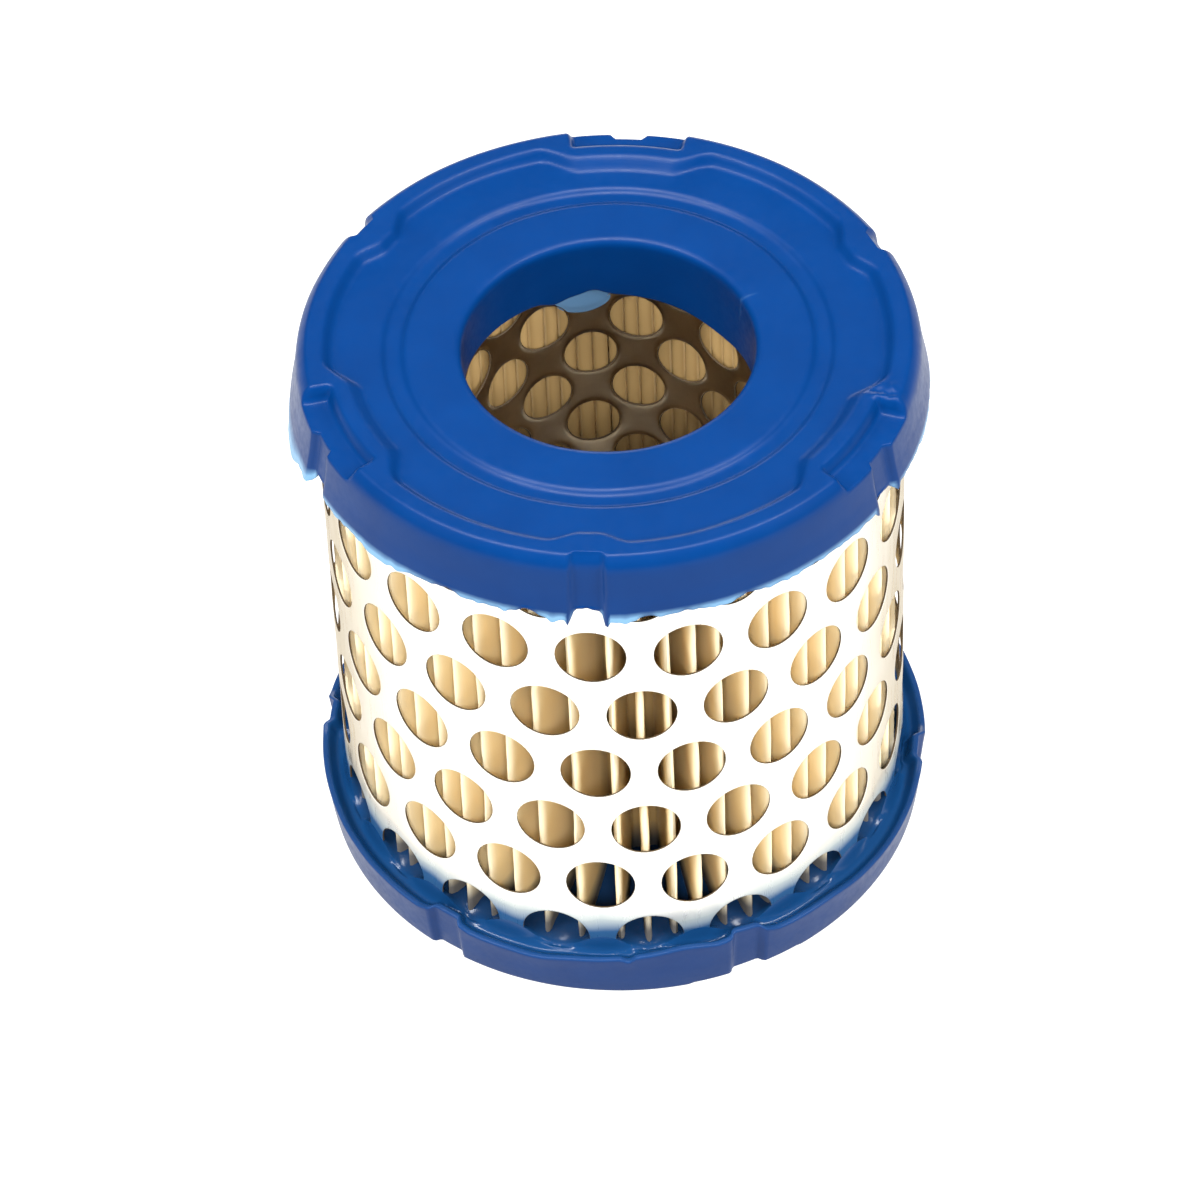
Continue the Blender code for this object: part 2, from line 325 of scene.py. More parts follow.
bow_length = 30 * MM
crinkle = 0.12 * MM
crinkle_across = 3
crinkle_seed = 4.0
crinkle_length = 5 * MM
seam_azimuth = math.pi
pleat_seed = 7
weld = 0.001 * MM
paper_smoothing = 50
paper_roughness = 0.8
paper_specular = 0.25
paper_translucence = 0.2
# Painted shade: below these heights the paper darkens towards the bottom of the pack.
pack_shade_bottom = 9 * MM
pack_shade_top = 13 * MM
tone_noise = (90, 3, (1, 1, 0.5))
tone_span = (0.35, 0.65)
fibre_noise = (2600, 5, (1, 1, 0.35))
fibre_relief = (0.05 * MM, 0.4)
paper_tan = (0.94, 0.76, 0.43, 1.0)
paper_gold = (0.91, 0.70, 0.36, 1.0)
# Painted highlight: the outer crests are lightened to cream, as if lit from the front.
paper_crest_highlight = (0.95, 0.84, 0.60, 1.0)
# Painted shade: the inner folds are darkened to brown, as shade deep in the pleats.
paper_fold_shade = (0.44, 0.29, 0.12, 1.0)
# Painted shade low in the pack, a dark grey.
paper_pack_shade = (0.15, 0.14, 0.13, 1.0)

pleat_dice = random.Random(pleat_seed)
front = [math.tau + math.radians(azimuth) for azimuth in front_crests]
left_step = (front[0] - seam_azimuth) / left_gaps
right_step = (seam_azimuth + math.tau - front[-1]) / right_gaps
left_side = [seam_azimuth + left_step * count for count in range(1, left_gaps)]
right_side = [front[-1] + right_step * count for count in range(1, right_gaps)]
left_side = [azimuth + crest_lean * pleat_dice.uniform(-1, 1) for azimuth in left_side]
right_side = [azimuth + crest_lean * pleat_dice.uniform(-1, 1) for azimuth in right_side]
crests = [seam_azimuth] + left_side + front + right_side
pleats = len(crests)
crest_drops = [pleat_dice.random() ** 2 for _ in range(pleats)]
fold_bottom = pleat_inside + paper_thickness / 2


def fold_after(crest):
    """The azimuth and rounding of the inner fold after a crest. The pleats lean over at the front."""
    turns, following = divmod(crest + 1, pleats)
    half_gap = (crests[following] + math.tau * turns - crests[crest]) / 2
    middle = crests[crest] + half_gap
    return middle + fold_lean * (1 + math.cos(middle)) / 2, fold_fill * half_gap * fold_bottom


folds = [fold_after(crest) for crest in range(pleats)]


def soft_step(value, start, stop):
    """0 before start, 1 after stop, and a smooth rise between."""
    share = min(1.0, max(0.0, (value - start) / (stop - start)))
    return share * share * (3 - 2 * share)


def half_pleat(part, top, reach, fold_round, side):
    """Radius, and angle from the crest's middle, part of the way from the crest to a fold beside it."""
    if part < crest_part:
        bend = part / crest_part * math.pi / 2
        radius = top - crest_depth * (1 - math.cos(bend))
        return radius, side * crest_half * math.sin(bend) / radius
    if part > 1 - fold_part:
        bend = (1 - part) / fold_part * math.pi / 2
        radius = fold_bottom + fold_flat * fold_round * (1 - math.cos(bend))
        return radius, reach - side * fold_round * math.sin(bend) / radius
    down = (part - crest_part) / (1 - crest_part - fold_part)
    flank_top = top - crest_depth
    flank_bottom = fold_bottom + fold_flat * fold_round
    top_angle = side * crest_half / flank_top
    bottom_angle = reach - side * fold_round / flank_bottom
    return flank_top + (flank_bottom - flank_top) * down, top_angle + (bottom_angle - top_angle) * down


def pleat_point(across, height):
    """A point of the sheet: across counts pleats from the seam, with a crest at each whole number."""
    crest = round(across) % pleats
    offset = across - round(across)
    top = pleat_outside - paper_thickness / 2 - crest_shortfall * crest_drops[crest]
    if crest == 0:
        top -= clip_room
    fold, fold_round = folds[crest] if offset > 0 else folds[crest - 1]
    reach = math.remainder(fold - crests[crest], math.tau)
    radius, angle = half_pleat(abs(2 * offset), top, reach, fold_round, math.copysign(1, offset))
    outwards = (radius - fold_bottom) / (top - fold_bottom)
    wander = noise.noise((crest * wander_step, 0, height / wander_length))
    bow = noise.noise((crest * bow_step, offset * bow_across, height / bow_length))
    ripple = noise.noise((across * crinkle_across, crinkle_seed, height / crinkle_length))
    sideways = crest_wander * wander * outwards
    sideways += flank_bow * math.sin(math.pi * outwards) * bow + crinkle * ripple * outwards
    return at(radius, crests[crest] + angle + sideways / pleat_outside, height)


bpy.ops.object.select_all(action="DESELECT")
columns = pleats * points_per_pleat
bpy.ops.mesh.primitive_grid_add(x_subdivisions=columns, y_subdivisions=paper_levels, size=1)
paper = bpy.context.object
paper.name = "pleated_sheet"
crest_highlight_share = paper.data.attributes.new("crest", "FLOAT", "POINT")
fold_shade_share = paper.data.attributes.new("fold", "FLOAT", "POINT")
for vertex, crest_highlight_value, fold_shade_value in zip(paper.data.vertices, crest_highlight_share.data, fold_shade_share.data):
    across = (vertex.co.x + 0.5) * pleats
    height = pack_bottom + (vertex.co.y + 0.5) * (pack_top - pack_bottom)
    part = abs(2 * (across - round(across)))
    # The crest share is a painted highlight, fading from the middle of each crest.
    crest_highlight_value.value = 1 - soft_step(part, 0, crest_part)
    # The fold share is painted shade in the inner folds.
    fold_shade_value.value = soft_step(part, 1 - (1 + fold_fade) * fold_part, 1 - (1 - fold_fade) * fold_part)
    vertex.co = pleat_point(across, height)
edit(paper)
bpy.ops.mesh.remove_doubles(threshold=weld)
close_edit()
finish_modifier(paper, "SOLIDIFY", thickness=paper_thickness, offset=0)
smooth_by_angle(paper, paper_smoothing)


def point_share(tree, name):
    """A share from 0 to 1 that is stored at the piece's points."""
    return add_node(tree, "ShaderNodeAttribute", attribute_name=name).outputs["Fac"]


def object_height(tree):
    """The height above the table."""
    place = add_node(tree, "ShaderNodeTexCoord").outputs["Object"]
    return add_node(tree, "ShaderNodeSeparateXYZ", {"Vector": place}).outputs["Z"]


filter_paper, tree, shader = start_material("filter_paper")
tone = limit_range(tree, noise_pattern(tree, *tone_noise), *tone_span, 0, 1)
flank_colour = blend_colours(tree, tone, paper_tan, paper_gold)
# Painted highlight on the outer crests.
crest_highlight_colour = blend_colours(tree, point_share(tree, "crest"), flank_colour, paper_crest_highlight)
# Painted shade in the inner folds.
colour_before_pack_shade = blend_colours(tree, point_share(tree, "fold"), crest_highlight_colour, paper_fold_shade)
# Painted shade: the paper darkens towards the bottom of the pack.
painted_pack_shade = limit_range(tree, object_height(tree), pack_shade_bottom, pack_shade_top, 1, 0)
paper_colour = blend_colours(tree, painted_pack_shade, colour_before_pack_shade, paper_pack_shade)
tree.links.new(paper_colour, shader.inputs["Base Color"])
shader.inputs["Roughness"].default_value = paper_roughness
shader.inputs["Specular IOR Level"].default_value = paper_specular
see_through = add_node(tree, "ShaderNodeBsdfTranslucent", {"Color": paper_colour}).outputs["BSDF"]
both = {0: paper_translucence, 1: shader.outputs["BSDF"], 2: see_through}
sheet_shader = add_node(tree, "ShaderNodeMixShader", both).outputs["Shader"]
tree.links.new(sheet_shader, tree.nodes["Material Output"].inputs["Surface"])
add_bump(tree, shader, noise_pattern(tree, *fibre_noise), *fibre_relief)
paper.data.materials.append(filter_paper)
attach(paper, "root")
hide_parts("pleated_paper")

# Pleat seam clip
# A narrow tin strip folded to a U over the two ends of the paper, inside the wrap at the back.
# It keeps its CAD shape and has the tube's dull tinplate.
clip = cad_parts["pleat_seam_clip"]
clip.data.materials.clear()
clip.data.materials.append(dull_tin)

# Outer wrap
# Bright tinplate, punched with larger holes, rolled round the pleats and cast into both caps.
# Resin crept up it from the lower cap while it set, and left a thin blue-grey film.
wrap_radius = 40.0 * MM
wrap_gauge = 0.3 * MM
wrap_holes_around = 19
wrap_row_pitch = 11.57 * MM
wrap_hole = 9.52 * MM
wrap_hole_sides = 36
wrap_lip = 0.35 * MM
wrap_flare = -0.06 * MM
wrap_hole_azimuth = math.radians(-5.8)
wrap_lean = math.radians(1.15)
wrap_tin = (0.98, 0.96, 0.90, 1.0)
wrap_tin_warm = (0.96, 0.92, 0.82, 1.0)
wrap_tin_edge = (0.46, 0.40, 0.31, 1.0)
film_grey = (0.40, 0.45, 0.45, 1.0)
film_blue = (0.02, 0.075, 0.18, 1.0)
film_top = 15.5 * MM
film_bottom = 10.2 * MM
film_creep = 1.2 * MM
creep_noise = (70, 2)
thin_film_span = (0.0, 0.6)
full_film_span = (0.55, 1.0)
metal_film_span = (0.1, 0.8)
film_metallic = 0.1
warmth_noise = (40, 2)
warmth_span = (0.4, 0.7)
rolling_noise = (900, 3, (1, 1, 0.12))
rolling_relief = (0.004 * MM, 0.1)
wrap_roughness = (0.24, 0.36)

wrap = punched_tube(
    "wrap_sheet",
    wrap_radius,
    wrap_gauge,
    wrap_holes_around,
    wrap_row_pitch,
    wrap_hole,
    wrap_hole_sides,
    wrap_lip,
    wrap_flare,
    wrap_hole_azimuth,
)
for vertex in wrap.data.vertices:
    vertex.co.z -= vertex.co.x * math.tan(wrap_lean)

bright_tin, tree, shader = start_material("bright_tinplate")
creep = limit_range(tree, noise_pattern(tree, *creep_noise), *noise_span, -film_creep, film_creep)
heights = {0: object_height(tree), 1: creep}
uneven_height = add_node(tree, "ShaderNodeMath", heights, operation="ADD").outputs[0]
film = limit_range(tree, uneven_height, film_bottom, film_top, 1.0, 0.0)
warmth = limit_range(tree, noise_pattern(tree, *warmth_noise), *warmth_span, 0, 1)
tin_colour = blend_colours(tree, warmth, wrap_tin, wrap_tin_warm)
thin_film = blend_colours(tree, limit_range(tree, film, *thin_film_span, 0, 1), tin_colour, film_grey)
full_film = blend_colours(tree, limit_range(tree, film, *full_film_span, 0, 1), thin_film, film_blue)
tree.links.new(full_film, shader.inputs["Base Color"])
metal_share = limit_range(tree, film, *metal_film_span, 1.0, film_metallic)
tree.links.new(metal_share, shader.inputs["Metallic"])
shader.inputs["Specular Tint"].default_value = wrap_tin_edge
rolling = noise_pattern(tree, *rolling_noise)
tree.links.new(limit_range(tree, rolling, *noise_span, *wrap_roughness), shader.inputs["Roughness"])
add_bump(tree, shader, rolling, *rolling_relief)
coat_sheet(wrap, bright_tin, cut_metal)
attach(wrap, "root")
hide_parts("outer_wrap")

# Bottom end cap
# Blue plastisol, poured into a mould and cured with the pack standing in it. The mould gives the ribbed
# face, flutes and pockets. The poured side is open, so its edge is wavy and the resin climbs the wrap.
cap_radius = 42.3 * MM
cap_draft = 1.0 * MM
open_radius = cap_radius + cap_draft
bore_radius = 19.85 * MM
rib_height = 0.8 * MM
rib_inner_edge = 37.9 * MM
rib_slope = 0.8 * MM
press_fade = 2.4 * MM
press_reach = 6.0 * MM
bore_round = 1.2 * MM
groove_inside = 27.4 * MM
groove_outside = 30.7 * MM
groove_depth = 0.55 * MM
groove_slope = 0.75 * MM
groove_round = 0.45 * MM
tick_inside = 28.2 * MM
tick_outside = 29.8 * MM
tick_height = 0.05 * MM
ticks = 360
tick_patches = 5
flute_half = 2.4 * MM
flute_edge = 0.6 * MM
flute_depth = 0.9 * MM
jog_depth = 1.8 * MM
jog_half = 6.5 * MM
pocket_half = 8.2 * MM
pocket_end = 1.2 * MM
pocket_rib = 34.8 * MM
pocket_inside = 38.2 * MM
pocket_wall = 0.45 * MM
pocket_slope = 1.3 * MM
rib_bend = 6.0 * MM
face_wave = 0.09 * MM
face_wave_length = 9 * MM
face_wave_sink = 0.5
cap_smoothing = 60
cap_turns = 720
arc_pieces = 4
fine = 0.42 * MM
coarse = 1.6 * MM
bottom_flutes = [(math.radians(22.3 + 60 * count), count % 2 == 0) for count in range(6)]
bottom_edge_round = 0.4 * MM
bottom_wall = 7.6 * MM
bottom_lip = 0.35 * MM
trough_floor = 6.2 * MM
trough_width = 1.2 * MM
bottom_pool = 7.8 * MM
bottom_pocket_depth = 0.5 * MM
bore_wall = 10.7 * MM
bore_lip = 0.6 * MM
edge_wave = 0.7 * MM
edge_waves = 12
edge_ripple = 0.3 * MM
edge_ripples = 45
edge_thinness = 0.06
flute_edge_rise = 1.0 * MM
pool_ripples = 60
pool_scallop = 1.3 * MM
low_row_azimuth = wrap_hole_azimuth + math.pi / wrap_holes_around
bottom_edge_bumps = [(10, 9.0, 1.5), (-18, 7.0, -0.7), (60, 14.0, -0.9), (-0.8, 1.0, -0.7)]
cap_blue = (0.0001, 0.0232, 0.110, 1.0)
cap_blue_deep = (0.0001, 0.0200, 0.097, 1.0)
cap_poured = (0.004, 0.034, 0.110, 1.0)
# Painted shade on the resin between the pleats, inside the pack.
cap_pack_shade = (0.006, 0.026, 0.075, 1.0)
cap_thin = (0.14, 0.28, 0.43, 1.0)
mottle_noise = (120, 3)
skin_noise = (900, 4)
skin_relief = (0.03 * MM, 0.35)
moulded_roughness = (0.3, 0.42)
poured_roughness = 0.2
moulded_specular = 0.15
poured_specular = 0.3


def outline_points(corners):
    """Points round a closed outline of (radius, height, rounding, spacing to the next corner) corners."""
    bends = []
    earlier = corners[-1:] + corners[:-1]
    later = corners[1:] + corners[:1]
    for before, corner, after in zip(earlier, corners, later):
        here = Vector(corner[:2])
        start = here + (Vector(before[:2]) - here).normalized() * corner[2]
        stop = here + (Vector(after[:2]) - here).normalized() * corner[2]
        shares = [count / arc_pieces for count in range(arc_pieces + 1)] if corner[2] > 0 else [0.0]
        bends.append([start.lerp(here, share).lerp(here.lerp(stop, share), share) for share in shares])
    points = []
    for bend, following, corner in zip(bends, bends[1:] + bends[:1], corners):
        pieces = max(1, round((following[0] - bend[-1]).length / corner[3]))
        points += bend + [bend[-1].lerp(following[0], count / pieces) for count in range(1, pieces)]
    return points


def turned_ring(name, corners):
    """A ring turned from a closed outline."""
    points = outline_points(corners)
    bpy.ops.object.select_all(action="DESELECT")
    bpy.ops.mesh.primitive_circle_add(vertices=len(points), radius=cap_radius)
    ring = bpy.context.object
    ring.name = name
    for vertex, (radius, height) in zip(ring.data.vertices, points):
        vertex.co = (radius, 0, height)
    finish_modifier(
        ring,
        "SCREW",
        axis="Z",
        angle=math.tau,
        screw_offset=0,
        steps=cap_turns,
        render_steps=cap_turns,
        use_merge_vertices=True,
        merge_threshold=weld,
    )
    edit(ring)
    bpy.ops.mesh.normals_make_consistent(inside=False)
    close_edit()
    return ring


def round_place(point):
    """Radius, azimuth and height of a point."""
    return math.hypot(point.x, point.y), math.atan2(point.x, -point.y), point.z


def angle_between(azimuth, other):
    """The shorter way round from the other azimuth, with its sign."""
    return math.remainder(azimuth - other, math.tau)


def nearest_flute(azimuth, flutes):
    """How far round the wall the nearest flute is, and whether it has a pocket at its end."""
    away = [(abs(angle_between(azimuth, flute)) * cap_radius, pocketed) for flute, pocketed in flutes]
    return min(away)


def edge_noise(azimuth, waves, seed):
    """Noise from -1 to 1 that closes round the axis, with about this many waves in a turn."""
    reach = waves / math.tau
    return noise.noise((reach * math.sin(azimuth), reach * math.cos(azimuth), seed))


def edge_bumps(azimuth, bumps):
    """The sum of single bumps along an edge, each (azimuth and half width in degrees, height in mm)."""
    total = 0.0
    for middle, half_width, rise in bumps:
        away = angle_between(azimuth, math.radians(middle)) / math.radians(half_width)
        total += rise * MM * math.exp(-(away**2))
    return total


def press_face(ring, face_height, inwards, flutes, rib_rise, pocket_depth):
    """Presses the rim rib with its jogs and flat pockets, and the wall's flutes, into a turned ring."""
    for vertex in ring.data.vertices:
        radius, azimuth, height = round_place(vertex.co)
        depth = (height - face_height) * inwards
        along, pocketed = nearest_flute(azimuth, flutes)
        flute = 1 - soft_step(along, flute_half - flute_edge, flute_half + flute_edge / 2)
        rib_inside = rib_inner_edge
        slope = rib_slope
        pocket = 0.0
        if pocketed:
            pocket = 1 - soft_step(along, pocket_half - pocket_end / 2, pocket_half + pocket_end / 2)
            pocket *= soft_step(radius, pocket_inside - pocket_wall, pocket_inside + pocket_wall)
            bulge = 1 - soft_step(along, pocket_half - pocket_end / 2, pocket_half + rib_bend)
            rib_inside += (pocket_rib - rib_inner_edge) * bulge
            slope += (pocket_slope - rib_slope) * bulge
        else:
            rib_inside -= jog_depth * (1 - soft_step(along, flute_half / 2, jog_half))
        rise = rib_rise * soft_step(radius, rib_inside - slope, rib_inside + slope)
        floor_depth = rib_height - rib_rise + pocket_depth
        rise -= max(0.0, floor_depth - depth + rise) * pocket
        rise += face_wave * min(0.0, noise.noise(vertex.co / face_wave_length) - face_wave_sink)
        if tick_inside < radius < tick_outside:
            patch = max(0.0, edge_noise(azimuth, tick_patches, seed=8.0))
            rise += tick_height * math.cos(ticks * azimuth) * patch
        rise *= 1 - soft_step(depth, press_fade, press_reach)
        at_wall = soft_step(radius, cap_radius - 3 * flute_depth, cap_radius - flute_depth)
        vertex.co = at(radius - flute_depth * flute * at_wall, azimuth, height - inwards * rise)


def face_corners(face_height, inwards):
    """The outline's corners from the bore over the end face to where the rib is pressed up."""
    land = face_height + inwards * rib_height
    floor = land + inwards * groove_depth
    return [
        (bore_radius, land, bore_round, coarse),
        (groove_inside, land, groove_round, fine),
        (groove_inside + groove_slope, floor, groove_round, fine),
        (groove_outside - groove_slope, floor, groove_round, fine),
        (groove_outside, land, groove_round, coarse),
        (pocket_rib - pocket_slope, land, 0.0, fine),
    ]


plastisol, tree, shader = start_material("blue_plastisol")
poured_place = point_share(tree, "poured")
mottle = limit_range(tree, noise_pattern(tree, *mottle_noise), *noise_span, 0, 1)
solid_colour = blend_colours(tree, mottle, cap_blue, cap_blue_deep)
poured_colour = blend_colours(tree, poured_place, solid_colour, cap_poured)
# Painted shade on the resin between the pleats.
pack_shaded_colour = blend_colours(tree, point_share(tree, "painted_pack_shade"), poured_colour, cap_pack_shade)
cap_colour = blend_colours(tree, point_share(tree, "thin"), pack_shaded_colour, cap_thin)
tree.links.new(cap_colour, shader.inputs["Base Color"])
skin = noise_pattern(tree, *skin_noise)
moulded_gloss = limit_range(tree, skin, *noise_span, *moulded_roughness)
glosses = {"Factor": poured_place, 2: moulded_gloss, 3: poured_roughness}
gloss = add_node(tree, "ShaderNodeMix", glosses, data_type="FLOAT")
tree.links.new(gloss.outputs[0], shader.inputs["Roughness"])
wetness = limit_range(tree, poured_place, 0, 1, moulded_specular, poured_specular)
tree.links.new(wetness, shader.inputs["Specular IOR Level"])
add_bump(tree, shader, skin, *skin_relief)

bottom_cap = turned_ring(
    "bottom_cap_moulding",
    face_corners(0.0, 1)
    + [
        (cap_radius, rib_height, bottom_edge_round, fine),
        (open_radius, bottom_wall, bottom_lip, fine),
        (open_radius - 2.5 * bottom_lip, bottom_wall, bottom_lip, fine),
        (wrap_radius + trough_width, trough_floor, trough_width / 2, fine),
        (wrap_radius + bottom_lip, (trough_floor + bottom_pool) / 2, bottom_lip, fine),
        (wrap_radius, bottom_pool, 0.0, fine),
        (wrap_radius - trough_width, bottom_pool - bottom_lip, 0.0, coarse),
        (tube_radius, bottom_pool, 0.0, coarse),
        (tube_face, bore_wall - bore_lip, 0.0, fine),
        (bore_radius + bore_lip, bore_wall, bore_lip / 3, fine),
        (bore_radius, bore_wall - bore_lip, bore_lip / 3, coarse),
    ],
)
thin = bottom_cap.data.attributes.new("thin", "FLOAT", "POINT")
poured = bottom_cap.data.attributes.new("poured", "FLOAT", "POINT")
painted_pack_shade = bottom_cap.data.attributes.new("painted_pack_shade", "FLOAT", "POINT")
shares = zip(bottom_cap.data.vertices, thin.data, poured.data, painted_pack_shade.data)
for vertex, thin_share, poured_share, pack_shade_share in shares:
    radius, azimuth, height = round_place(vertex.co)
    along = nearest_flute(azimuth, bottom_flutes)[0]
    wave = edge_wave * edge_noise(azimuth, edge_waves, seed=0.0)
    wave += edge_ripple * edge_noise(azimuth, edge_ripples, seed=5.0)
    wave += edge_bumps(azimuth, bottom_edge_bumps)
    wave += flute_edge_rise * (1 - soft_step(along, flute_half / 2, 2 * flute_half))
    wall_share = soft_step(radius, wrap_radius + bottom_lip, open_radius - 3 * bottom_lip)
    wall_share *= soft_step(height, bottom_wall / 2, bottom_wall)
    pool = edge_ripple * edge_noise(azimuth, pool_ripples, seed=3.0)
    pool -= pool_scallop * math.cos(wrap_holes_around * (azimuth - low_row_azimuth))
    pool_share = 1 - soft_step(radius, wrap_radius, wrap_radius + trough_width)
    pool_share *= soft_step(radius, wrap_radius - 2 * trough_width, wrap_radius)
    pool_share *= soft_step(height, trough_floor, bottom_pool)
    vertex.co.z += wave * wall_share + pool * pool_share
    inside = 1 - soft_step(radius, open_radius - 3 * bottom_lip, open_radius - bottom_lip)
    open_side = soft_step(height, trough_floor - bottom_lip, trough_floor)
    poured_share.value = open_side * inside
    # This share is painted shade on the resin between the tube and the wrap.
    pack_shade_share.value = open_side * (1 - soft_step(radius, wrap_radius - trough_width, wrap_radius))
    pack_shade_share.value *= soft_step(radius, tube_radius, tube_radius + trough_width)
    thin_share.value = edge_thinness * soft_step(height, bottom_wall - bottom_lip, bottom_wall)
    thin_share.value *= 1 - inside
press_face(bottom_cap, 0.0, 1, bottom_flutes, rib_height, bottom_pocket_depth)
bottom_cap.data.materials.append(plastisol)
smooth_by_angle(bottom_cap, cap_smoothing)
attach(bottom_cap, "root")
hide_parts("bottom_end_cap")

# Top end cap
# The same moulding at the other end, turned about the axis, with a higher rib and a chamfered rim. Resin
# was squeezed out under its wall and left thin flash, with small drips beside the flutes and a smear on
# the tube inside the bore.
top_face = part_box("top_end_cap")[1][2]
top_flutes = [
    (math.radians(-5.5), False),
    (math.radians(57.5), True),
    (math.radians(114.5), False),
    (math.radians(174.5), True),
    (math.radians(-125.5), False),
    (math.radians(-67.5), True),
]
top_rib = 1.4 * MM
top_pocket_depth = 2.1 * MM
top_chamfer = 1.2 * MM
top_edge_round = 0.4 * MM
top_shoulder = 0.9 * MM
top_taper = 0.35 * MM
top_wall = 8.3 * MM
top_pool = 9.0 * MM
flash_length = 0.8 * MM
flash_gauge = 0.3 * MM
flash_wave = 0.55 * MM
flash_waves = 45
flash_rags = 0.4 * MM
rag_waves = 230
flash_lean = 0.25
flute_edge_lift = 1.0 * MM
flash_drips = [
    (-82, 8.0, 3.0),
    (-72, 2.0, 1.2),
    (-46, 6.0, 0.9),
    (-31.5, 2.5, -0.9),
    (-16.5, 2.0, -1.0),
    (-11.5, 2.0, 0.7),
    (1.0, 2.4, 0.7),
    (4.5, 1.8, -0.8),
    (23, 2.5, -0.7),
    (95, 12.0, 0.6),
    (128, 6.0, 1.0),
    (-140, 8.0, 1.2),
]
flute_drips = [(-8.9, 0.45, 1.2), (-2.3, 0.45, 1.3), (53.8, 0.5, 0.9), (61.2, 0.5, 0.8)]
flash_fade = 0.3 * MM
bore_edge_drop = 0.7 * MM
bore_edge_tilt = 1.3 * MM
bore_edge_bumps = [(130, 15.0, 0.65), (-175, 5.0, -0.8), (-159, 5.0, 0.85)]
bore_tear_depth = 7.0 * MM
bore_tear_azimuth = math.radians(113)
bore_tear_slant = math.radians(0.35) / MM
bore_tear_half = math.radians(0.6)
bore_tear = 0.3 * MM
tear_share = 0.3
tear_swing = 1.5
tear_waves = 40
tear_length = 1.3 * MM
tear_thinness = 0.25
smear_azimuth = math.radians(-171)
smear_half = math.radians(10.5)
smear_top = 76.4 * MM
smear_side = 73.7 * MM
smear_length = 2.4 * MM
smear_gauge = 0.3 * MM
smear_rim = 0.08 * MM
smear_thinness = 0.58
smear_columns = 32
smear_rows = 12
smear_point = 0.7
smear_lead = 0.3
blister_place = at(38.6 * MM, math.radians(70.5), top_face)
blister_reach = 1.9 * MM
blister_height = 0.7 * MM
blister_grain = 0.9 * MM

top_cap = turned_ring(
    "top_cap_moulding",
    face_corners(top_face, -1)
    + [
        (cap_radius - top_chamfer, top_face - rib_height, top_edge_round, fine),
        (cap_radius, top_face - rib_height - top_chamfer, top_shoulder, fine),
        (open_radius, top_face - top_wall, 0.0, fine / 2),
        (open_radius, top_face - top_wall - flash_length, flash_gauge / 4, fine / 2),
        (open_radius - flash_gauge, top_face - top_wall - flash_length, flash_gauge / 4, fine / 2),
        (open_radius - 2 * flash_gauge, top_face - top_wall, 0.0, fine),
        (wrap_radius, top_face - top_pool, flash_gauge, fine),
        (wrap_radius - trough_width, top_face - top_pool, 0.0, coarse),
        (tube_radius, top_face - top_pool, 0.0, coarse),
        (tube_face, top_face - bore_wall + bore_lip, 0.0, fine),
        (bore_radius + bore_lip, top_face - bore_wall, bore_lip / 3, fine),
        (bore_radius, top_face - bore_wall + bore_lip, bore_lip / 3, coarse / 2),
    ],
)
thin = top_cap.data.attributes.new("thin", "FLOAT", "POINT")
poured = top_cap.data.attributes.new("poured", "FLOAT", "POINT")
for vertex, thin_share, poured_share in zip(top_cap.data.vertices, thin.data, poured.data):
    radius, azimuth, height = round_place(vertex.co)
    depth = top_face - height
    along = nearest_flute(azimuth, top_flutes)[0]
    length = flash_wave * edge_noise(azimuth, flash_waves, seed=2.0)
    length += flash_rags * edge_noise(azimuth, rag_waves, seed=6.0)
    length += edge_bumps(azimuth, flash_drips)
    length -= flute_edge_lift * (1 - soft_step(along, flute_half / 2, flute_half))
    drip = edge_bumps(azimuth, flute_drips)
    length += drip
    outer = soft_step(radius, wrap_radius + flash_gauge, open_radius - 3 * flash_gauge)
    hanging = soft_step(depth, top_wall - flash_length, top_wall + flash_length)
    hang = length * hanging * outer
    bore_edge = bore_edge_drop + bore_edge_tilt * math.sin(azimuth)
    bore_edge += edge_bumps(azimuth, bore_edge_bumps)
    inner = 1 - soft_step(radius, tube_face, tube_radius)
    low = soft_step(depth, bore_wall / 2, bore_wall - bore_lip / 2)
    vertex.co.z -= hang + bore_edge * low * inner
    tear_away = angle_between(azimuth, bore_tear_azimuth + bore_tear_slant * depth) / bore_tear_half
    tear_pattern = noise.noise((azimuth * tear_waves, 0, height / tear_length))
    ragged = max(0.0, tear_share + tear_swing * tear_pattern)
    tear = math.exp(-(tear_away**2)) * inner * ragged * (1 - soft_step(depth, 0, bore_tear_depth))
    taper = top_taper * soft_step(radius, groove_outside, cap_radius)
    taper *= 1 - soft_step(depth, 0, top_wall)
    vertex.co.xy *= 1 + (flash_lean * max(0.0, hang) - bore_tear * tear - taper) / radius
    flash = soft_step(depth, top_wall - flash_fade, top_wall + flash_fade) * outer
    flash *= soft_step(length, -flash_length, flash_length / 2) * (1 - soft_step(drip, 0, flash_length))
    thin_share.value = max(flash, tear_thinness * tear)
    poured_share.value = soft_step(depth, top_wall / 2, top_wall) * (1 - outer) * (1 - inner)
press_face(top_cap, top_face, -1, top_flutes, top_rib, top_pocket_depth)
for vertex in top_cap.data.vertices:
    near = math.exp(-(((vertex.co - blister_place).length / blister_reach) ** 2))
    vertex.co.z += blister_height * near * noise.noise(vertex.co / blister_grain)

